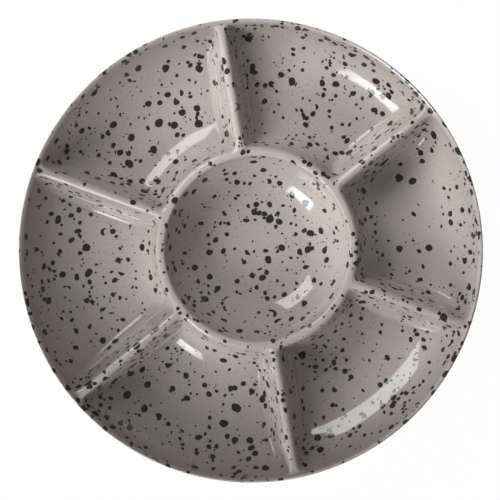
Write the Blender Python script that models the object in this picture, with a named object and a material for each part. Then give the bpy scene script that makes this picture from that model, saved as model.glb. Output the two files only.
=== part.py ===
"""A round stoneware serving dish: a bowl-shaped shell, a ring wall round the middle bowl and six dividers.

Units are metres and +Z is up. The rim's axis is X = Y = 0, and the dish stands on Z = 0.
The level floor, the ring wall, the dividers and the foot share one centre, a little off the rim's axis.
"""

import math

import bpy
import numpy as np

for old_object in list(bpy.data.objects):
    bpy.data.objects.remove(old_object)

# The whole dish
RIM_RADIUS = 0.150
HEIGHT = 0.040
PATTERN_SHIFT_X = 0.0046
PATTERN_SHIFT_Y = 0.0018
CLEARANCE = 0.0003

# Shell: floor, outer wall and rim
BODY_THICKNESS = 0.0055
FLOOR_RADIUS = 0.105
WALL_SWEEP = math.radians(79)
RIM_THICKNESS = 0.0028
RIM_TOP_INSET = 0.0007
RIM_ROUND = 0.0020

# Ring wall and dividers
RING_RADIUS = 0.0625
CREST_DROP = 0.0020
CREST_HALF_WIDTH = 0.0023
CREST_EASE = 0.0040
FACE_DRAFT = math.radians(17.5)
RING_COVE = 0.024
BOWL_FLOOR_RADIUS = 0.028
BOWL_SWEEP = math.radians(76)
DIVIDER_TURN = math.radians(39.5)
# How far each divider stands off its even place, as the clay was set by hand
DIVIDER_STRAYS = [math.radians(stray) for stray in (-0.7, -0.2, 0.8, 0.0, 0.1, 0.4)]
DIVIDER_FOOT_EASE = 0.0100
DIVIDER_CORNER_EASE = 0.0170
TOE = 0.0006

# Foot ring
FOOT_HEIGHT = 0.0035
FOOT_WIDTH = 0.0070
FOOT_INSET = 0.012
FOOT_EDGE = 0.0008

# How finely the round shapes are faceted
AROUND = 72
WALL_STEPS = 10
RIM_STEPS = 6
COVE_STEPS = 8
BOWL_STEPS = 8
DIVIDER_STATIONS = 13
SHARP_EDGE = math.radians(40)

# Colours and roughness
GLAZE_COLOUR = (0.37, 0.33, 0.30)
GLAZE_ROUGHNESS = 0.12
BARE_CLAY_COLOUR = (0.55, 0.47, 0.37)
BARE_CLAY_ROUGHNESS = 0.8

# Places worked out from the sizes above
PATTERN_CENTRE = np.array([PATTERN_SHIFT_X, PATTERN_SHIFT_Y])
FLOOR_Z = FOOT_HEIGHT + BODY_THICKNESS
CREST_Z = HEIGHT - CREST_DROP
FACE_SLOPE = 1 / math.tan(FACE_DRAFT)
RIM_INNER_RADIUS = RIM_RADIUS - RIM_THICKNESS
RIM_TOP_RADIUS = RIM_RADIUS - RIM_TOP_INSET
RIM_SHOULDER_Z = HEIGHT - RIM_ROUND
WALL_RUN = (RIM_INNER_RADIUS - FLOOR_RADIUS) / math.sin(WALL_SWEEP)
WALL_RISE = (RIM_SHOULDER_Z - FLOOR_Z) / (1 - math.cos(WALL_SWEEP))
BOWL_MOUTH_RADIUS = RING_RADIUS - CREST_HALF_WIDTH
BOWL_RUN = (BOWL_MOUTH_RADIUS - BOWL_FLOOR_RADIUS) / math.sin(BOWL_SWEEP)
BOWL_RISE = (CREST_Z - FLOOR_Z) / (1 - math.cos(BOWL_SWEEP))
RING_FACE_RADIUS = RING_RADIUS + CREST_HALF_WIDTH
COVE_TURN = math.pi / 2 - FACE_DRAFT
COVE_TOP_Z = FLOOR_Z + RING_COVE * (1 - math.cos(COVE_TURN))
COVE_TOP_RADIUS = RING_FACE_RADIUS + (CREST_Z - COVE_TOP_Z) / FACE_SLOPE
COVE_FLOOR_RADIUS = COVE_TOP_RADIUS + RING_COVE * math.sin(COVE_TURN)


def soft_max(first, second, ease):
    """The larger of two heights, rounded where they differ by less than the ease."""
    blend = np.maximum(ease - np.abs(first - second), 0)
    return np.maximum(first, second) + blend**2 / (4 * ease)


def soft_min(first, second, ease):
    """The smaller of two heights, rounded where they differ by less than the ease."""
    return -soft_max(-np.asarray(first), -np.asarray(second), ease)


def level_centre(radius):
    """Centre of the shell's circle of this radius: the pattern's at the floor, the rim's axis at the rim."""
    climb = np.clip((radius - FLOOR_RADIUS) / (RIM_INNER_RADIUS - FLOOR_RADIUS), 0, 1)
    return PATTERN_CENTRE * (1 - np.asarray(climb)[..., None])


def level_radius(points):
    """Radius of the shell's circle through each point, solved from distance to its sliding centre = radius."""
    slide = PATTERN_CENTRE / (RIM_INNER_RADIUS - FLOOR_RADIUS)
    away = points - PATTERN_CENTRE - slide * FLOOR_RADIUS
    along = away @ slide
    rest = 1 - slide @ slide
    on_wall = (along + np.sqrt(along**2 + rest * (away**2).sum(-1))) / rest
    on_floor = np.linalg.norm(points - PATTERN_CENTRE, axis=-1)
    return np.where(on_floor < FLOOR_RADIUS, on_floor, on_wall)


def shell_height(points, offset):
    """Top of the faceted floor and wall, moved inwards and up by the offset."""
    radius = level_radius(points)
    from_centre = points - level_centre(radius)
    step = 2 * math.pi / AROUND
    angle = np.arctan2(from_centre[..., 1], from_centre[..., 0]) - DIVIDER_TURN
    flat = np.cos(np.mod(angle, step) - step / 2) / math.cos(step / 2)
    sweep = np.clip((radius * flat + offset - FLOOR_RADIUS) / WALL_RUN, 0, math.sin(WALL_SWEEP))
    return FLOOR_Z + WALL_RISE * (1 - np.sqrt(1 - sweep**2)) + offset


def ring_height(radius):
    """Top of the ring wall: an elliptic bowl inside, a drafted face with a cove outside, a rounded crest."""
    sweep = np.clip((radius - BOWL_FLOOR_RADIUS) / BOWL_RUN, 0, math.sin(BOWL_SWEEP))
    bowl = FLOOR_Z + BOWL_RISE * (1 - np.sqrt(1 - sweep**2))
    mouth_slope = math.tan(BOWL_SWEEP) * BOWL_RISE / BOWL_RUN
    bowl = bowl + np.maximum(radius - BOWL_MOUTH_RADIUS, 0) * mouth_slope
    face = CREST_Z - FACE_SLOPE * (radius - RING_FACE_RADIUS)
    in_cove = np.clip(COVE_FLOOR_RADIUS - radius, 0, RING_COVE * math.sin(COVE_TURN))
    cove = FLOOR_Z + RING_COVE - np.sqrt(RING_COVE**2 - in_cove**2)
    outside = np.where(radius < COVE_TOP_RADIUS, face, cove)
    return soft_min(CREST_Z, np.where(radius < RING_RADIUS, bowl, outside), CREST_EASE)


def ground_height(points, offset):
    """What a divider stands on, the shell's floor and wall and the ring's outer side, moved out by the offset."""
    from_ring = np.linalg.norm(points - PATTERN_CENTRE, axis=-1)
    ring = ring_height(from_ring - offset) + offset
    return np.maximum(shell_height(points, offset), ring)


def fired_clay(name, colour, roughness):
    """A plain material with one colour and roughness."""
    material = bpy.data.materials.new(name)
    material.use_nodes = True
    surface = material.node_tree.nodes["Principled BSDF"]
    surface.inputs["Base Color"].default_value = (*colour, 1)
    surface.inputs["Roughness"].default_value = roughness
    surface.inputs["Metallic"].default_value = 0
    return material


def add_node(name, points, faces, material):
    """An object of that name with its own mesh, shaded smooth except at sharp edges."""
    mesh = bpy.data.meshes.new(name)
    mesh.from_pydata(points.tolist(), [], faces)
    mesh.materials.append(material)
    mesh.shade_smooth()
    mesh.set_sharp_from_angle(angle=SHARP_EDGE)
    node = bpy.data.objects.new(name, mesh)
    bpy.context.collection.objects.link(node)
    return node


def strips(first, second, closed):
    """Four-sided faces between two rows of point numbers, closed into a loop or left open."""
    count = len(first)
    ends = range(count if closed else count - 1)
    return [[first[i], first[(i + 1) % count], second[(i + 1) % count], second[i]] for i in ends]


def circle(centre, radius, height):
    """One level circle, its corners counted from the first divider's even place."""
    angles = DIVIDER_TURN + np.linspace(0, 2 * math.pi, AROUND, endpoint=False)
    across = centre + radius * np.stack([np.cos(angles), np.sin(angles)], axis=-1)
    return np.column_stack([across, np.full(AROUND, height)])


def stack_of_circles(name, levels, material, joined_round):
    """A skin over circles given in order, each (centre, radius, height): a ring if joined round, else capped."""
    points = np.concatenate([circle(*level) for level in levels])
    rows = [list(range(i * AROUND, (i + 1) * AROUND)) for i in range(len(levels))]
    faces = []
    for i in range(len(rows) if joined_round else len(rows) - 1):
        faces += strips(rows[i], rows[(i + 1) % len(rows)], closed=True)
    if not joined_round:
        faces += [rows[0][::-1], rows[-1]]
    return add_node(name, points, faces, material)


def shell_levels():
    """The shell's circles: underside, outer wall, over the rim, inner wall and floor."""
    inside, outside = [], []
    for sweep in np.linspace(0, WALL_SWEEP, WALL_STEPS):
        radius = FLOOR_RADIUS + WALL_RUN * math.sin(sweep)
        height = FLOOR_Z + WALL_RISE * (1 - math.cos(sweep))
        inside.append((level_centre(radius), radius, height))
        thickness = BODY_THICKNESS + (RIM_THICKNESS - BODY_THICKNESS) * sweep / WALL_SWEEP
        outwards, downwards = WALL_RISE * math.sin(sweep), WALL_RUN * math.cos(sweep)
        share = thickness / math.hypot(outwards, downwards)
        outer_radius = min(radius + share * outwards, RIM_RADIUS)
        outside.append((level_centre(radius), outer_radius, height - share * downwards))
    rim = []
    for turn in np.linspace(0, math.pi, RIM_STEPS + 1)[:-1]:
        edge_radius = RIM_RADIUS if turn < math.pi / 2 else RIM_INNER_RADIUS
        radius = RIM_TOP_RADIUS + abs(edge_radius - RIM_TOP_RADIUS) * math.cos(turn)
        rim.append((level_centre(RIM_RADIUS), radius, RIM_SHOULDER_Z + RIM_ROUND * math.sin(turn)))
    return outside + rim + inside[::-1]


def ring_levels():
    """The ring wall's circles: along its flat bottom, up the bowl side, over the crest and down the cove."""
    bottom_z = FLOOR_Z + CLEARANCE
    toe_rise = CLEARANCE + TOE
    first_sweep = math.acos(1 - toe_rise / BOWL_RISE)
    bowl = BOWL_FLOOR_RADIUS + BOWL_RUN * np.sin(np.linspace(first_sweep, BOWL_SWEEP, BOWL_STEPS))
    crest_shares = np.array([-1.0, -0.4, 0.3])
    round_off = CREST_EASE / FACE_SLOPE
    crest = RING_FACE_RADIUS + round_off * crest_shares
    crest_inside = BOWL_MOUTH_RADIUS - round_off * crest_shares[1::-1]
    last_turn = math.acos(1 - toe_rise / RING_COVE)
    cove = COVE_FLOOR_RADIUS - RING_COVE * np.sin(np.linspace(COVE_TURN, last_turn, COVE_STEPS))
    radii = np.concatenate([bowl[:-1], crest_inside, crest, [RING_FACE_RADIUS + round_off], cove])
    top = [(PATTERN_CENTRE, radius, float(ring_height(radius))) for radius in radii]
    return [(PATTERN_CENTRE, radii[-1], bottom_z)] + top[::-1] + [(PATTERN_CENTRE, radii[0], bottom_z)]


def reach_along(direction, radius):
    """Distance from the pattern's centre, in a direction, to the shell's circle of this radius."""
    offset = PATTERN_CENTRE - level_centre(radius)
    along = offset @ direction
    return -along + math.sqrt(along**2 - offset @ offset + radius**2)


def foot_ease(ground):
    """How far a divider's foot is eased out: more where the ground climbs to the ring's or the wall's top."""
    climb = np.clip((ground - FLOOR_Z) / (CREST_Z - FLOOR_Z), 0, 1)
    return DIVIDER_FOOT_EASE + (DIVIDER_CORNER_EASE - DIVIDER_FOOT_EASE) * climb**2 * (3 - 2 * climb)


def divider(name, angle, material):
    """A drafted wall between ring and rim, its foot eased into a ground that it follows at the clearance."""
    direction = np.array([math.cos(angle), math.sin(angle)])
    sideways = np.array([-direction[1], direction[0]])
    lift = CLEARANCE + TOE
    start = RING_FACE_RADIUS + lift
    last_sweep = math.acos(1 - (CREST_Z - lift - FLOOR_Z) / WALL_RISE)
    end = reach_along(direction, FLOOR_RADIUS + WALL_RUN * math.sin(last_sweep) - lift)
    ease = (1 - np.cos(np.linspace(0, math.pi, DIVIDER_STATIONS))) / 2
    station = (start + (end - start) * ease)[:, None]

    # Half width where the eased foot runs out on the ground
    on_line = PATTERN_CENTRE + station * direction
    ground = ground_height(on_line, lift)
    foot_rise = CREST_Z - ground + foot_ease(ground)
    foot = (CREST_HALF_WIDTH + foot_rise / FACE_SLOPE)[:, None]
    crest_shares = np.array([-1.0, -0.2, 1.0])
    crest = CREST_HALF_WIDTH + CREST_EASE / FACE_SLOPE * crest_shares
    face_shares = np.array([0.45, 0.72, 1.0])
    face = crest[-1] + (foot - crest[-1]) * face_shares
    half = np.concatenate([np.broadcast_to(crest, (DIVIDER_STATIONS, len(crest))), face], axis=1)
    across = np.concatenate([-half[:, ::-1], half], axis=1)

    along = np.sqrt(station**2 - across**2)
    plan = PATTERN_CENTRE + along[..., None] * direction + across[..., None] * sideways
    wedge = CREST_Z + FACE_SLOPE * (CREST_HALF_WIDTH - np.abs(across))
    ground = ground_height(plan, lift)
    top = soft_max(wedge, ground, foot_ease(ground))
    top = soft_min(CREST_Z, top, CREST_EASE)
    bottom = ground_height(plan, CLEARANCE)

    # The mesh lies along its own X axis, and the object is turned to its place
    sheets = [np.stack([along, across, height], axis=-1).reshape(-1, 3) for height in (bottom, top)]
    grid = np.arange(across.size).reshape(across.shape)
    under, over = grid, grid + across.size
    faces = []
    for i in range(DIVIDER_STATIONS - 1):
        faces += strips(under[i], under[i + 1], closed=False)
        faces += strips(over[i + 1], over[i], closed=False)
    edges = [
        (under[0][::-1], over[0][::-1]),
        (under[-1], over[-1]),
        (under[:, 0], over[:, 0]),
        (under[::-1, -1], over[::-1, -1]),
    ]
    for low, high in edges:
        faces += strips(low, high, closed=False)
    faces = [[int(corner) for corner in face] for face in faces]
    node = add_node(name, np.concatenate(sheets), faces, material)
    node.location = (*PATTERN_CENTRE, 0)
    node.rotation_euler = (0, 0, angle)
    return node


def foot_levels():
    """The foot ring's circles: a flat standing face with eased edges, and the face under the floor."""
    outer = FLOOR_RADIUS - FOOT_INSET
    inner = outer - FOOT_WIDTH
    under_floor = FOOT_HEIGHT - CLEARANCE
    profile = [
        (inner, under_floor),
        (inner, FOOT_EDGE),
        (inner + FOOT_EDGE, 0),
        (outer - FOOT_EDGE, 0),
        (outer, FOOT_EDGE),
        (outer, under_floor),
    ]
    return [(PATTERN_CENTRE, radius, height) for radius, height in profile]


shell_glaze = fired_clay("shell_glaze", GLAZE_COLOUR, GLAZE_ROUGHNESS)
ring_glaze = fired_clay("ring_glaze", GLAZE_COLOUR, GLAZE_ROUGHNESS)
bare_clay = fired_clay("bare_clay", BARE_CLAY_COLOUR, BARE_CLAY_ROUGHNESS)

stack_of_circles("dish_shell", shell_levels(), shell_glaze, joined_round=False)
stack_of_circles("centre_ring", ring_levels(), ring_glaze, joined_round=True)
for number, stray in enumerate(DIVIDER_STRAYS):
    turn = DIVIDER_TURN + 2 * math.pi * number / len(DIVIDER_STRAYS) + stray
    divider_glaze = fired_clay(f"divider_glaze_{number + 1}", GLAZE_COLOUR, GLAZE_ROUGHNESS)
    divider(f"divider_{number + 1}", turn, divider_glaze)
stack_of_circles("foot_ring", foot_levels(), bare_clay, joined_round=True)
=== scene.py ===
import math

import bpy
import numpy as np
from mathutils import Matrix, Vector


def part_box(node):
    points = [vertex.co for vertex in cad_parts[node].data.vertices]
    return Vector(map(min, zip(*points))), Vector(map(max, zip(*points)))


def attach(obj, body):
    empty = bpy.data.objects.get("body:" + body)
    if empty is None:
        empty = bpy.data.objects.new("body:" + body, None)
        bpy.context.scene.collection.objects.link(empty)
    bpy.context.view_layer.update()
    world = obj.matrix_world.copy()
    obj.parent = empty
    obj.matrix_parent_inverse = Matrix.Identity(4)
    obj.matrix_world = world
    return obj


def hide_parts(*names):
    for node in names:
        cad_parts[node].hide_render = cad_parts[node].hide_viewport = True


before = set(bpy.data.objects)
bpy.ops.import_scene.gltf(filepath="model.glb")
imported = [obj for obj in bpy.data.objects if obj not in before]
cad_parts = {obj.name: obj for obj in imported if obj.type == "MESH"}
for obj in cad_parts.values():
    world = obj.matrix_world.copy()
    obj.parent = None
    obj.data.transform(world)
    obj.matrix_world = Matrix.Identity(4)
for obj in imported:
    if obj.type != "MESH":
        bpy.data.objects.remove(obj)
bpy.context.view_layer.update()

# Glazed dish. One body of moulded stoneware: floor, outer wall and rounded rim, a ring wall round the
# middle bowl and six drafted dividers, all joined wet, so every foot runs into the floor in a soft curve.
# It is dipped in one glossy warm grey glaze, then spattered with dark oxide before the firing.
clearance = 0.0003
shell_low, shell_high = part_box("dish_shell")
ring_low, ring_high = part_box("centre_ring")
rim_radius = min(*shell_high.xy, *(-shell_low.xy))
rim_top_z = shell_high.z
underside_z = shell_low.z
floor_z = ring_low.z - clearance
crest_z = ring_high.z
pattern_centre = np.array((ring_low + ring_high).xy) / 2

body_thickness = 0.0055
floor_radius = 0.105
wall_sweep = math.radians(79)
rim_thickness = 0.0028
rim_top_inset = 0.0007
rim_thick_extra = 0.0009
rim_thick_side = math.radians(308)
rim_round = 0.0020
rim_edge_radius = 0.0007
rim_edge_power = 1.4
ring_radius = 0.0625
ring_cove = 0.024
mouth_edge_radius = 0.0016
bowl_floor_radius = 0.028
bowl_sweep = math.radians(76)
crest_half_width = 0.0025
crest_radius = 0.0029
crest_narrows_from = 0.138
face_slope = 1 / math.tan(math.radians(17.5))
first_divider_turn = math.radians(39.5)
divider_strays = np.radians([-0.7, -0.2, 0.8, 0.0, 0.1, 0.4])
divider_turns = first_divider_turn + np.radians(60) * np.arange(len(divider_strays)) + divider_strays
divider_ways = np.stack([np.cos(divider_turns), np.sin(divider_turns)], axis=-1)
divider_foot_ease = 0.0100
divider_corner_ease = 0.0170
chamfer_slope = math.tan(math.radians(28))
chamfer_reach = 0.0150
chamfer_ease = 0.0004
ledge_place = 0.0091
ledge_width = 0.0006
ledge_slope = 0.55
stroke_height = 0.00022
stroke_spacing = 0.0031
stroke_slant = 0.31

rim_inner_radius = rim_radius - rim_thickness
rim_shoulder_z = rim_top_z - rim_round
wall_run = (rim_inner_radius - floor_radius) / math.sin(wall_sweep)
wall_rise = (rim_shoulder_z - floor_z) / (1 - math.cos(wall_sweep))
wall_top_slope = math.tan(wall_sweep) * wall_rise / wall_run
bowl_mouth_radius = ring_radius - crest_half_width
bowl_run = (bowl_mouth_radius - bowl_floor_radius) / math.sin(bowl_sweep)
bowl_rise = (crest_z - floor_z) / (1 - math.cos(bowl_sweep))
mouth_slope = math.tan(bowl_sweep) * bowl_rise / bowl_run
ring_face_radius = ring_radius + crest_half_width
cove_turn = math.atan(face_slope)
cove_top_z = floor_z + ring_cove * (1 - math.cos(cove_turn))
cove_top_radius = ring_face_radius + (crest_z - cove_top_z) / face_slope
cove_floor_radius = cove_top_radius + ring_cove * math.sin(cove_turn)


def soft_max(first, second, ease):
    """The larger of two heights, plus (ease - difference)^2 / 4 ease where they differ by less than ease."""
    blend = np.maximum(ease - np.abs(first - second), 0)
    return np.maximum(first, second) + blend**2 / (4 * ease)


def rounded_crest(level, raised, slope, radius):
    """The lower of two heights, with an arc of this radius from the crest level to a face of this slope.

    With u = (level - raised) / slope and tangent = radius * tan(half the face's angle), the arc is
    level - radius + sqrt(radius^2 - (u + tangent)^2).
    """
    corner = (level - raised) / slope
    turn = np.arctan(slope)
    tangent = radius * np.tan(turn / 2)
    across = np.clip(corner + tangent, 0, radius * np.sin(turn))
    arc = level - radius + np.sqrt(radius**2 - across**2)
    return np.where(corner < tangent * np.cos(turn), arc, raised)


def level_centre(radius):
    """Centre of the wall's circle of a radius: it slides from the pattern's centre to the rim's axis.

    Centre = pattern's centre * (1 - share of the way from the floor's radius to the rim's).
    """
    climb = np.clip((radius - floor_radius) / (rim_inner_radius - floor_radius), 0, 1)
    return pattern_centre * (1 - np.asarray(climb)[..., None])


def reach_along(directions, radius):
    """Distance t from the pattern's centre P where |P + t direction - centre| = radius, by the quadratic."""
    offset = pattern_centre - level_centre(radius)
    along = directions @ offset
    return np.sqrt(along**2 - offset @ offset + radius**2) - along


def bowl_height(radius):
    """Middle bowl: a quarter ellipse from its level floor to its mouth, then straight at its last slope."""
    sweep = np.clip((radius - bowl_floor_radius) / bowl_run, 0, math.sin(bowl_sweep))
    curve = floor_z + bowl_rise * (1 - np.sqrt(1 - sweep**2))
    return curve + np.maximum(radius - bowl_mouth_radius, 0) * mouth_slope


def ring_outside_height(radius):
    """Ring's outer side: a straight drafted face down to a circular cove that ends level with the floor."""
    face = crest_z - face_slope * (radius - ring_face_radius)
    in_cove = np.clip(cove_floor_radius - radius, 0, ring_cove * math.sin(cove_turn))
    cove = floor_z + ring_cove - np.sqrt(ring_cove**2 - in_cove**2)
    return np.where(radius < cove_top_radius, face, cove)


def wall_height(level):
    """Outer wall over its level radius: an ellipse arc from the floor up to the rim, then its last slope."""
    sweep = np.clip((level - floor_radius) / wall_run, 0, math.sin(wall_sweep))
    curve = floor_z + wall_rise * (1 - np.sqrt(1 - sweep**2))
    return curve + np.maximum(level - rim_inner_radius, 0) * wall_top_slope


def rim_top_radius(points):
    """Radius of the rim's highest circle, drawn in by extra * max(0, cos(angle from the thick side))^2."""
    thick_way = [math.cos(rim_thick_side), math.sin(rim_thick_side)]
    toward = points @ thick_way / np.linalg.norm(points, axis=-1)
    return rim_radius - rim_top_inset - rim_thick_extra * np.maximum(toward, 0) ** 2


def crest_level(points, level):
    """Highest level that any wall reaches: the crests inside, then a quarter oval up to the rim's top.

    With x and z as shares of its width and height, the oval is x^power + z^power = 1.
    """
    top_radius = rim_top_radius(points)
    across = np.clip((top_radius - level) / (top_radius - rim_inner_radius), 0, 1)
    return crest_z + (rim_top_z - crest_z) * (1 - across**rim_edge_power) ** (1 / rim_edge_power)


def nearest_divider(away):
    """Distances along and across the nearest divider, for a place (x, y) seen from the pattern's centre.

    Along is x cos(turn) + y sin(turn) and across is the size of x sin(turn) - y cos(turn).
    """
    along = away @ divider_ways.T
    across = away[..., :1] * divider_ways[:, 1] - away[..., 1:] * divider_ways[:, 0]
    nearest = np.where(along > 0, np.abs(across), np.inf).argmin(axis=-1)[..., None]
    return [np.take_along_axis(distance, nearest, axis=-1)[..., 0] for distance in (along, np.abs(across))]


def top_height(points, level):
    """The glazed top: soft maximum of divider faces, ground and foot chamfer, with round crests.

    A divider's face falls by face slope. A narrow ledge lies along it, and a sine wave runs along it like the
    strokes of a moulding tool.
    """
    away = points - pattern_centre
    from_centre = np.linalg.norm(away, axis=-1)
    in_bowl = from_centre < ring_radius
    ground = np.where(in_bowl, bowl_height(from_centre), ring_outside_height(from_centre))
    ground = np.maximum(ground, wall_height(level))
    climb = np.clip((ground - floor_z) / (crest_z - floor_z), 0, 1)
    ease = divider_foot_ease + (divider_corner_ease - divider_foot_ease) * climb**2 * (3 - 2 * climb)
    along, across = nearest_divider(away)
    stroke = stroke_height * np.sin(2 * math.pi * (across / stroke_spacing + along / stroke_slant))
    below_crest = np.clip(across / crest_half_width - 1, 0, 1)
    on_ledge = np.clip(across - ledge_place, -ledge_width / 2, ledge_width / 2)
    face = crest_z + face_slope * (crest_half_width - across) + stroke * below_crest
    face = face + (face_slope - ledge_slope) * on_ledge
    chamfer = floor_z + chamfer_slope * (chamfer_reach - across)
    eased = soft_max(soft_max(face, ground, ease), chamfer, chamfer_ease)
    raised = np.where(in_bowl, ground, eased)
    slope = np.where(in_bowl, mouth_slope, face_slope)
    near_rim = np.clip((level - crest_narrows_from) / (rim_inner_radius - crest_narrows_from), 0, 1)
    radius = np.where(in_bowl, mouth_edge_radius, crest_radius + (rim_edge_radius - crest_radius) * near_rim)
    return rounded_crest(crest_level(points, level), raised, slope, radius)


# Lines round the dish, listed for one bay: at set offsets from the divider before it, then evenly over the
# bay, then at the same offsets from the divider after it. Each has its share of the way across the bay.
crest_offsets = np.arange(0, 0.0044, 0.0003)
face_offsets = np.linspace(0.0049, 0.0081, 5)
ledge_offsets = ledge_place + ledge_width / 2 * np.arange(-2, 3)
foot_offsets = np.linspace(0.0103, 0.0165, 11)
wall_offsets = np.concatenate([crest_offsets, face_offsets, ledge_offsets, foot_offsets])
bay_lines = 18
line_shares = np.concatenate([
    np.zeros(len(wall_offsets)),
    np.arange(1, bay_lines + 1) / (bay_lines + 1),
    np.ones(len(wall_offsets) - 1),
])
bay_offsets = np.concatenate([wall_offsets, np.full(bay_lines, wall_offsets[-1]), wall_offsets[:0:-1]])
bay_sweeps = np.diff(divider_turns, append=divider_turns[0] + 2 * math.pi)
line_starts = np.repeat(divider_turns, len(line_shares))
line_sweeps = np.outer(bay_sweeps, line_shares).ravel()
line_leans = np.tile(1 - 2 * line_shares, len(divider_turns))
line_offsets = np.tile(bay_offsets, len(divider_turns))
line_count = len(line_starts)
wall_row_trials = 4


def level_row(level):
    """Points of one row: where the lines cross the circle of this level radius.

    A line's angle is start + share of the bay + lean * asin(offset / distance). On the wall, where the circle
    is off the pattern's centre, angle and distance are found by repeating the two.
    """
    reach = np.full(line_count, float(level))
    for _ in range(wall_row_trials if level > floor_radius else 1):
        lean = line_leans * np.arcsin(line_offsets / np.maximum(reach, ring_radius))
        angle = line_starts + line_sweeps + lean
        directions = np.stack([np.cos(angle), np.sin(angle)], axis=-1)
        reach = reach_along(directions, level)
    return pattern_centre + reach[:, None] * directions


def row_at(plan, height):
    """Points (x, y, height) of one row."""
    return np.column_stack([plan, np.broadcast_to(height, len(plan))])


pole_gap = 0.002
crest_overrun = 0.002
bottom_rows = 10
bowl_rows = 34
crest_rows = 17
ring_side_rows = 22
floor_rows = 7
wall_rows = 38


def top_rows():
    """Rows of the glazed top: bowl, ring's crest, its outer side, floor and wall, by even steps of sweep.

    On an ellipse arc, radius = radius of its foot + run * sin(sweep).
    """
    bowl = bowl_floor_radius + bowl_run * np.sin(np.linspace(0, bowl_sweep, bowl_rows))
    crest = np.linspace(bowl[-1], ring_face_radius + crest_overrun, crest_rows)[1:]
    levels = np.concatenate([
        np.linspace(pole_gap, bowl_floor_radius, bottom_rows)[:-1],
        bowl,
        crest,
        np.linspace(crest[-1], cove_floor_radius, ring_side_rows)[1:],
        np.linspace(cove_floor_radius, floor_radius, floor_rows)[1:-1],
        floor_radius + wall_run * np.sin(np.linspace(0, wall_sweep, wall_rows)),
    ])
    plans = [level_row(level) for level in levels]
    return [row_at(plan, top_height(plan, np.full(line_count, level))) for plan, level in zip(plans, levels)]


rim_edge_rows = 11
rim_round_rows = 8


def rim_rows():
    """Rows of the rim: its inner edge up to the highest circle, then a quarter ellipse down to its side.

    For a turn from 0 to a right angle, radius = start + width * sin(turn) and height falls by cos(turn).
    """
    outwards = level_row(rim_inner_radius)
    outwards = outwards / np.linalg.norm(outwards, axis=1)[:, None]
    top_radius = rim_top_radius(outwards)
    rows = []
    for turn in np.linspace(0, math.pi / 2, rim_edge_rows)[1:]:
        radius = rim_inner_radius + (top_radius - rim_inner_radius) * math.sin(turn)
        plan = outwards * radius[:, None]
        rows.append(row_at(plan, top_height(plan, radius)))
    for turn in np.linspace(0, math.pi / 2, rim_round_rows)[1:]:
        radius = top_radius + (rim_radius - top_radius) * math.sin(turn)
        rows.append(row_at(outwards * radius[:, None], rim_shoulder_z + rim_round * math.cos(turn)))
    return rows


outside_rows = 26
underside_rows = 12
underside_pole_gap = 0.004


def outer_rows():
    """Rows down the outside and in under the floor: the top's ellipse arc, moved out by the wall's thickness.

    The arc's outward normal is (rise * sin(sweep), -run * cos(sweep)), and thickness grows down to the floor.
    """
    rows = []
    for sweep in np.linspace(wall_sweep, 0, outside_rows):
        level = floor_radius + wall_run * math.sin(sweep)
        thickness = body_thickness + (rim_thickness - body_thickness) * sweep / wall_sweep
        out, down = wall_rise * math.sin(sweep), wall_run * math.cos(sweep)
        share = thickness / math.hypot(out, down)
        radius = min(level + share * out, rim_radius)
        centre = level_centre(level)
        plan = centre + (level_row(level) - centre) * radius / level
        rows.append(row_at(plan, floor_z + wall_rise * (1 - math.cos(sweep)) - share * down))
    for level in np.linspace(floor_radius, underside_pole_gap, underside_rows)[1:]:
        rows.append(row_at(level_row(level), underside_z))
    return rows


def smooth_piece(name, points, faces):
    """An object at the origin, with a smooth mesh of these points and faces."""
    mesh = bpy.data.meshes.new(name)
    mesh.from_pydata(points.tolist(), [], faces)
    mesh.shade_smooth()
    piece = bpy.data.objects.new(name, mesh)
    bpy.context.collection.objects.link(piece)
    return piece


def closed_skin(name, rows, first_pole, last_pole):
    """A closed mesh over rows of equal length that run round a body, with a point at each end as a pole."""
    count = len(rows[0])
    points = np.concatenate([[first_pole], *rows, [last_pole]])
    grid = 1 + np.arange(len(rows) * count).reshape(len(rows), count)
    after = np.roll(grid, -1, axis=1)
    quads = np.stack([grid[:-1], grid[1:], after[1:], after[:-1]], axis=-1).reshape(-1, 4)
    first = np.stack([np.zeros(count, int), grid[0], after[0]], axis=-1)
    last = np.stack([grid[-1], np.full(count, len(points) - 1), after[-1]], axis=-1)
    return smooth_piece(name, points, [*quads.tolist(), *first.tolist(), *last.tolist()])


glazed_dish = closed_skin(
    "glazed_dish",
    [*top_rows(), *rim_rows(), *outer_rows()],
    (*pattern_centre, floor_z),
    (*pattern_centre, underside_z),
)


class Finish:
    """A material's node tree. node() adds any node: its settings are set first, then its sockets."""

    def __init__(self, name):
        self.material = bpy.data.materials.new(name)
        self.material.use_nodes = True
        self.tree = self.material.node_tree
        self.surface = self.tree.nodes["Principled BSDF"]

    def node(self, kind, settings=None, sockets=None, output=0):
        """Adds a node and returns one of its outputs, wrapped."""
        made = self.tree.nodes.new(kind)
        for key, value in (settings or {}).items():
            setattr(made, key, value)
        for key, value in (sockets or {}).items():
            self.feed(made.inputs[key], value)
        return Wire(self, made.outputs[output])

    def feed(self, socket, value):
        """Links a wrapped output to a socket, or sets the socket's own value."""
        if isinstance(value, Wire):
            self.tree.links.new(value.socket, socket)
        else:
            socket.default_value = value

    def look(self, name, value):
        """Links or sets a socket of the surface shader."""
        self.feed(self.surface.inputs[name], value)

    def place(self):
        """Object coordinates, in metres."""
        return self.node("ShaderNodeTexCoord", output="Object")

    def mix(self, first, second, share):
        """The first colour turned into the second by a share, on the Mix node's sockets for colours."""
        sockets = {0: share, 6: first, 7: second}
        return self.node("ShaderNodeMix", {"data_type": "RGBA"}, sockets, output=2)

    def bump(self, height, strength, depth):
        """Turns the surface's normals as if it rose by height * depth."""
        sockets = {"Height": height, "Strength": strength, "Distance": depth}
        self.look("Normal", self.node("ShaderNodeBump", None, sockets))


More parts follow.
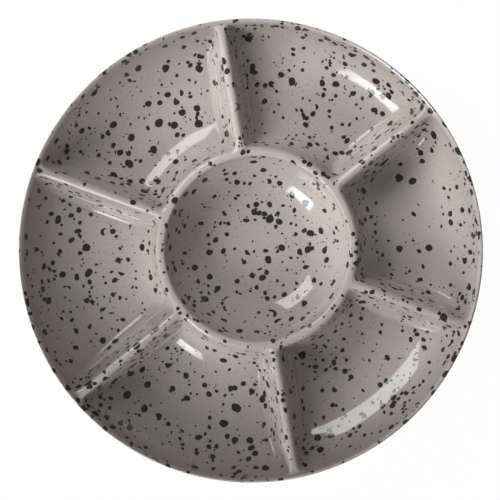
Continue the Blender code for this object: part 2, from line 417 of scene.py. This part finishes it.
class Wire:
    """A node's output. Arithmetic with numbers or other outputs adds Math nodes."""

    def __init__(self, finish, socket):
        self.finish = finish
        self.socket = socket

    def maths(self, operation, first, second):
        """A Math node of this operation on two numbers or outputs."""
        return self.finish.node("ShaderNodeMath", {"operation": operation}, {0: first, 1: second})

    def __add__(self, other):
        return self.maths("ADD", self, other)

    __radd__ = __add__

    def __sub__(self, other):
        return self.maths("SUBTRACT", self, other)

    def __rsub__(self, other):
        return self.maths("SUBTRACT", other, self)

    def __mul__(self, other):
        return self.maths("MULTIPLY", self, other)

    __rmul__ = __mul__

    def __lt__(self, other):
        return self.maths("LESS_THAN", self, other)

    def larger(self, other):
        """The larger of this output and another."""
        return self.maths("MAXIMUM", self, other)

    def sibling(self, output):
        """Another output of the same node."""
        return Wire(self.finish, self.socket.node.outputs[output])

    def eased(self, low, high):
        """0 below low, 1 above high and the smooth step 3 t^2 - 2 t^3 between."""
        step = {"interpolation_type": "SMOOTHSTEP"}
        limits = {"Value": self, "From Min": low, "From Max": high}
        return self.finish.node("ShaderNodeMapRange", step, limits)

    def moved(self, amount):
        """This vector plus another."""
        return self.finish.node("ShaderNodeVectorMath", {"operation": "ADD"}, {0: self, 1: amount})

    def scaled(self, amounts):
        """This vector times another, axis by axis."""
        return self.finish.node("ShaderNodeVectorMath", {"operation": "MULTIPLY"}, {0: self, 1: amounts})

    def length(self):
        """Length of this vector."""
        return self.finish.node("ShaderNodeVectorMath", {"operation": "LENGTH"}, {0: self}, "Value")

    def noise(self, spacing, detail, output="Fac"):
        """Noise at this position, in waves of about the spacing, with finer ones added by the detail."""
        sockets = {"Vector": self, "Scale": 1 / spacing, "Detail": detail}
        return self.finish.node("ShaderNodeTexNoise", None, sockets, output)


# Speckles are slices through balls of oxide at the cell points, in sizes from fine dust to small lentils.
speckle_sizes = [
    # cell spacing, ball radius, share of cells that hold one
    (0.0090, 0.00285, 0.64),
    (0.0064, 0.00225, 0.50),
    (0.0044, 0.00136, 0.27),
    (0.0028, 0.00085, 0.12),
    (0.0016, 0.00045, 0.04),
]
dust_size = (0.0014, 0.00030, 0.19)
ball_least = 0.55
ball_spread = 0.45
speckle_scatter = 0.85
speckle_edge = 0.00038
size_seed = 0.137
dust_seed = 0.911
crowd_spacing = 0.022
crowd_levels = (0.34, 0.66)
crowd_least = 0.35
crowd_spread = 1.3

glaze = Finish("speckled_grey_glaze")
place = glaze.place()


def wobble(source, spacing, amount, seed):
    """Moves a position by 4 * amount * (noise - 0.5) on each axis, so that round speckles come out uneven."""
    shifted = source.moved((seed, -seed, 0.5 * seed))
    centred = shifted.noise(spacing, detail=1, output="Color").moved((-0.5, -0.5, -0.5))
    return source.moved(centred.scaled((4 * amount, 4 * amount, 4 * amount)))


def speckles(source, spacing, radius, share, crowding, seed):
    """Mask of one size of speckle: 1 inside the balls of the cells that hold one, eased at the edge.

    A ball's radius is the size's * (least + spread * the cell's green), and a cell holds one where its red
    is below crowding * share.
    """
    shifted = source.moved((seed, 2 * seed, 3 * seed))
    sockets = {"Vector": shifted, "Scale": 1 / spacing, "Randomness": speckle_scatter}
    distance = glaze.node("ShaderNodeTexVoronoi", None, sockets)
    red = glaze.node("ShaderNodeSeparateColor", None, {"Color": distance.sibling("Color")})
    size = radius * ball_least + radius * ball_spread * red.sibling("Green")
    inside = size - spacing * distance
    edge = inside.eased(-speckle_edge / 2, speckle_edge / 2)
    return edge * (red < crowding * share)


uneven = wobble(place, spacing=0.011, amount=0.0011, seed=0.31)
uneven = wobble(uneven, spacing=0.0028, amount=0.00022, seed=0.47)
crowding = crowd_least + crowd_spread * place.noise(crowd_spacing, detail=2).eased(*crowd_levels)
dots = None
for number, (spacing, radius, share) in enumerate(speckle_sizes):
    layer = speckles(uneven, spacing, radius, share, crowding, size_seed * (number + 1))
    dots = dots.larger(layer) if dots else layer
dust = speckles(uneven, *dust_size, crowding, dust_seed)

# The glaze's grey: mottled, grained and drifting to a cooler tone, darkened by painted shade on the steep
# outer wall near the rim, and paler on the crests, where it runs thin. The oxide lies over it.
glaze_grey = (0.410, 0.371, 0.342, 1)
glaze_mottle = (0.335, 0.302, 0.283, 1)
mottle_spacing = 0.030
mottle_levels = (0.40, 0.75)
mottle_share = 0.35
glaze_grain = (0.300, 0.272, 0.252, 1)
grain_spacing = 0.0013
grain_levels = (0.42, 0.68)
grain_share = 0.42
glaze_cool = (0.377, 0.352, 0.335, 1)
drift_place = (0.2, 0.1, 0)
drift_spacing = 0.045
drift_levels = (0.42, 0.62)
drift_share = 0.7
# Colour of the painted shade on the steep outer wall near the rim.
painted_shade_grey = (0.315, 0.284, 0.262, 1)
painted_shade_radii = (0.128, 0.146)
painted_shade_share = 0.9
glaze_thin_pale = (0.430, 0.392, 0.364, 1)
thin_depth = 0.0022
thin_share = 0.45
dust_brown = (0.115, 0.098, 0.085, 1)
dust_share = 0.7
oxide_dark = (0.0085, 0.0115, 0.0105, 1)
oxide_share = 0.97

from_axis = place.scaled((1, 1, 0)).length()
height_up = glaze.node("ShaderNodeSeparateXYZ", None, {"Vector": place}, "Z")
mottle = place.noise(mottle_spacing, detail=3)
grain = place.noise(grain_spacing, detail=2)
drift = place.moved(drift_place).noise(drift_spacing, detail=2)
tone = glaze.mix(glaze_grey, glaze_mottle, mottle.eased(*mottle_levels) * mottle_share)
tone = glaze.mix(tone, glaze_grain, grain.eased(*grain_levels) * grain_share)
tone = glaze.mix(tone, glaze_cool, drift.eased(*drift_levels) * drift_share)
# Painted shade: the steep outer wall is darkened towards the rim.
tone = glaze.mix(tone, painted_shade_grey, from_axis.eased(*painted_shade_radii) * painted_shade_share)
tone = glaze.mix(tone, glaze_thin_pale, height_up.eased(crest_z - thin_depth, crest_z) * thin_share)
tone = glaze.mix(tone, dust_brown, dust * dust_share)
glaze.look("Base Color", glaze.mix(tone, oxide_dark, dots * oxide_share))
glaze.look("Roughness", 0.05)
glaze.look("IOR", 1.5)

# The glaze's skin swells slightly, which ends before the rim, and shows faint level ripples on steep faces.
swell_spacing = 0.018
swell_share = 0.8
swell_ends = (0.138, 0.146)
ripple_spacing = 0.0030
ripple_share = 0.35
ripple_stretch = (0.08, 0.08, 1)
skin_depth = 0.00022
swell = place.noise(swell_spacing, detail=1)
ripples = place.scaled(ripple_stretch).noise(ripple_spacing, detail=2)
skin_height = swell_share * swell * (1 - from_axis.eased(*swell_ends)) + ripple_share * ripples
glaze.bump(skin_height, strength=1.0, depth=skin_depth)

glazed_dish.data.materials.append(glaze.material)
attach(glazed_dish, "root")
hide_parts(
    "dish_shell",
    "centre_ring",
    *[f"divider_{number + 1}" for number in range(len(divider_turns))],
)

# Foot ring. The low ring that the dish stands on, turned with the body and wiped clean of glaze before
# the firing, so that it doesn't stick to the kiln shelf. Its bare stoneware is buff, dry and slightly sandy.
foot_low, foot_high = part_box("foot_ring")
foot_centre = np.array((foot_low + foot_high).xy) / 2
foot_outer_radius = (foot_high.x - foot_low.x) / 2
foot_width = 0.0070
foot_edge_round = 0.0012
foot_edge_rows = 7
foot_lines = 192
foot_sharp_angle = math.radians(50)


def foot_ring_points():
    """The ring's section (radius, height) turned round its centre: x, y = centre + radius * (cos, sin).

    The section runs down the inside and over the standing face, whose edges are quarter circles, to the
    outside. For a turn t from 0 to a right angle these are edge * (1 - cos t) and edge * (1 - sin t).
    """
    turns = np.linspace(0, math.pi / 2, foot_edge_rows)
    rising = foot_edge_round * (1 - np.cos(turns))
    falling = foot_edge_round * (1 - np.sin(turns))
    inner, outer = foot_outer_radius - foot_width, foot_outer_radius
    radii = np.concatenate([[inner], inner + rising, outer - falling, [outer]])
    heights = np.concatenate([[foot_high.z], falling, rising, [foot_high.z]])
    around = np.linspace(0, 2 * math.pi, foot_lines, endpoint=False)
    ways = np.stack([np.cos(around), np.sin(around)], axis=-1)
    plan = foot_centre + radii[:, None, None] * ways
    return np.concatenate([plan, np.tile(heights[:, None, None], (1, foot_lines, 1))], axis=-1)


foot_points = foot_ring_points()
foot_grid = np.arange(foot_points.size // 3).reshape(-1, foot_lines)
foot_next = np.roll(foot_grid, -1, axis=0)
foot_faces = np.stack([foot_grid, np.roll(foot_grid, -1, 1), np.roll(foot_next, -1, 1), foot_next], axis=-1)
foot_ring = smooth_piece("bare_foot_ring", foot_points.reshape(-1, 3), foot_faces.reshape(-1, 4).tolist())
foot_ring.data.set_sharp_from_angle(angle=foot_sharp_angle)

clay_buff = (0.56, 0.47, 0.36, 1)
clay_sand = (0.40, 0.32, 0.24, 1)
sand_spacing = 0.0011
sand_levels = (0.45, 0.7)
sand_depth = 0.0002
clay_roughness = 0.78
sand_roughness = 0.12
clay = Finish("bare_stoneware")
sand = clay.place().noise(sand_spacing, detail=3)
clay.look("Base Color", clay.mix(clay_buff, clay_sand, sand.eased(*sand_levels)))
clay.look("Roughness", clay_roughness + sand_roughness * sand)
clay.bump(sand, strength=0.5, depth=sand_depth)
foot_ring.data.materials.append(clay.material)
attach(foot_ring, "root")
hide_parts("foot_ring")

# Studio. A wide pale table in a dim room, two soft boxes on the left, one high and broad, one low and small,
# and a camera almost straight above. The table shows white to the camera and keeps the dish's faint shadow.
table_size = 6.0
table_white = 0.98
bpy.ops.mesh.primitive_plane_add(size=table_size, location=(0, 0, 0))
table_top = bpy.context.object
table_top.name = "table_top"

table = Finish("pale_table")
table.look("Base Color", (0.90, 0.90, 0.90, 1))
table.look("Roughness", 0.9)
camera_ray = table.node("ShaderNodeLightPath", output="Is Camera Ray")
seen = camera_ray.larger(camera_ray.sibling("Is Glossy Ray"))
seen = seen.larger(camera_ray.sibling("Is Transmission Ray"))
pale = Wire(table, table.surface.outputs["BSDF"])
white = table.node("ShaderNodeEmission", None, {"Color": (1, 1, 1, 1), "Strength": 1.0})
table_look = table.node("ShaderNodeMixShader", None, {0: seen * table_white, 1: pale, 2: white})
table.feed(table.tree.nodes["Material Output"].inputs["Surface"], table_look)
table_top.data.materials.append(table.material)

room_light = 0.26
world = bpy.data.worlds.new("studio_room")
bpy.context.scene.world = world
world.use_nodes = True
room_fill = world.node_tree.nodes["Background"]
room_fill.inputs["Color"].default_value = (1, 1, 1, 1)
room_fill.inputs["Strength"].default_value = room_light


def soft_box(name, azimuth, elevation, distance, width, height, aim, spread, watts, colour=(1, 1, 1)):
    """A rectangular lamp that faces a point, with a grid that keeps its beam to the spread in degrees.

    It stands at distance * (cos azimuth cos elevation, sin azimuth cos elevation, sin elevation).
    """
    lamp = bpy.data.lights.new(name, "AREA")
    lamp.shape = "RECTANGLE"
    lamp.size, lamp.size_y = width, height
    lamp.energy = watts
    lamp.color = colour
    lamp.spread = math.radians(spread)
    box = bpy.data.objects.new(name, lamp)
    bpy.context.collection.objects.link(box)
    turn, rise = math.radians(azimuth), math.radians(elevation)
    outward = Vector((math.cos(turn) * math.cos(rise), math.sin(turn) * math.cos(rise), math.sin(rise)))
    box.location = outward * distance
    box.rotation_euler = (Vector(aim) - box.location).to_track_quat("-Z", "Y").to_euler()
    return box


# Each soft box is a lamp that lights the dish, and one without a grid that only shows in its glaze. The low
# one's reflection has a brighter core.
cool = (0.93, 0.97, 1.0)
light = {"spread": 60}
reflection = {"aim": (0, 0, 0.02), "spread": 180, "colour": cool}
low_box = {"azimuth": 230, "elevation": 28, "distance": 0.80, "width": 0.31, "height": 0.36}
low_core_box = {"azimuth": 228, "elevation": 28, "distance": 0.79, "width": 0.25, "height": 0.30}
high_box = {"azimuth": 132, "elevation": 42, "distance": 0.50, "width": 0.244, "height": 0.288}
high_far_box = {"azimuth": 132, "elevation": 42, "distance": 0.80, "width": 0.39, "height": 0.46}
low_light = soft_box("low_light", **low_box, **light, aim=(0.106, 0.116, 0.02), watts=0.82)
low_reflection = soft_box("low_reflection", **low_box, **reflection, watts=2.9)
low_core = soft_box("low_reflection_core", **low_core_box, **reflection, watts=0.95)
high_light = soft_box("high_light", **high_box, **light, aim=(0.068, 0.109, 0.02), watts=0.362)
high_reflection = soft_box("high_reflection", **high_far_box, **reflection, watts=3.8)
low_light.visible_glossy = False
high_light.visible_glossy = False
low_reflection.visible_diffuse = False
low_core.visible_diffuse = False
high_reflection.visible_diffuse = False

# The camera's field follows from the dish's width in the picture, and its aim from where the dish stands.
camera_distance = 1.30
camera_lean = math.radians(2.6)
camera_side = math.radians(45)
aim_shift = 0.0010
plate_pixels = 465.2
image_pixels = 500
camera_data = bpy.data.cameras.new("camera")
camera = bpy.data.objects.new("camera", camera_data)
bpy.context.collection.objects.link(camera)
bpy.context.scene.camera = camera
field_width = 2 * rim_radius * image_pixels / plate_pixels
camera_data.lens = camera_data.sensor_width * camera_distance / field_width
lean_out = math.sin(camera_lean)
above = np.array([lean_out * math.cos(camera_side), lean_out * math.sin(camera_side), math.cos(camera_lean)])
camera.location = np.array([0, aim_shift, rim_top_z]) + camera_distance * above
camera.rotation_euler = (
    -camera_lean * math.sin(camera_side),
    camera_lean * math.cos(camera_side),
    0,
)
bpy.context.scene.view_settings.view_transform = "Standard"
